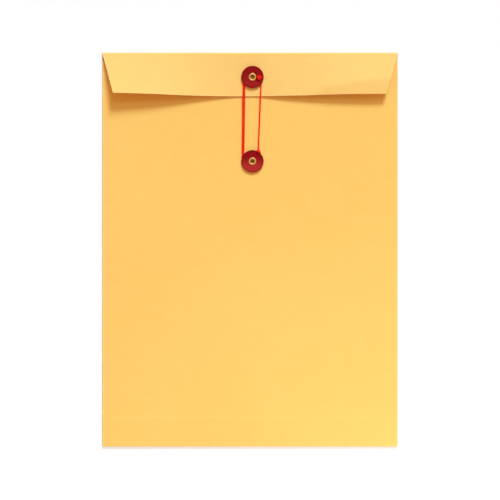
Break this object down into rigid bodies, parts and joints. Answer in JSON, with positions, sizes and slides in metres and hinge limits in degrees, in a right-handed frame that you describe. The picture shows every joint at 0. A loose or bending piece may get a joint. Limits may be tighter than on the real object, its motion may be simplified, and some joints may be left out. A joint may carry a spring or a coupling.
{
  "type": "string tie envelope",
  "caption": "Flat paper document envelope with a folding flap, held shut by a string wound round two fibre buttons on brass eyelets",
  "frame": {"origin": "middle of the envelope in plan, on the surface that its address side lies on", "axes": "X runs across the envelope, +Y runs up to the flap's crease, +Z points out of the flap side"},
  "size_m": [0.2286, 0.3048, 0.0124],
  "materials": {
    "envelope_paper": "matte",
    "patch_paper": "matte",
    "glue": "satin",
    "eyelet_brass": "polished",
    "button_fibre": "matte",
    "string_cotton": "matte"
  },
  "bodies": {
    "pocket": {"front_panel": "envelope_paper", "back_panel": "envelope_paper", "left_fold": "envelope_paper", "right_fold": "envelope_paper", "bottom_fold": "envelope_paper", "seam_tab": "envelope_paper", "bottom_tab": "envelope_paper", "seam_glue": "glue", "bottom_glue": "glue", "flap_crease": "envelope_paper", "pocket_patch": "patch_paper", "pocket_eyelet": "eyelet_brass"},
    "flap": {"closing_flap": "envelope_paper", "flap_patch": "patch_paper", "flap_eyelet": "eyelet_brass", "flap_disc": "button_fibre", "flap_knot": "string_cotton", "tie_string": "string_cotton", "end_knot": "string_cotton"},
    "lower_button": {"pocket_disc": "button_fibre"}
  },
  "joints": [
    {"name": "flap_hinge", "type": "hinge", "parent": "pocket", "child": "flap", "pos_m": [0, 0.151, 0.0014], "axis": [-1, 0, 0], "range_deg": [0, 160], "deforming": ["tie_string", "flap_crease"]},
    {"name": "lower_button_spin", "type": "hinge", "parent": "pocket", "child": "lower_button", "pos_m": [0.0019, 0.0683, 0], "axis": [0, 0, 1], "continuous": true}
  ]
}
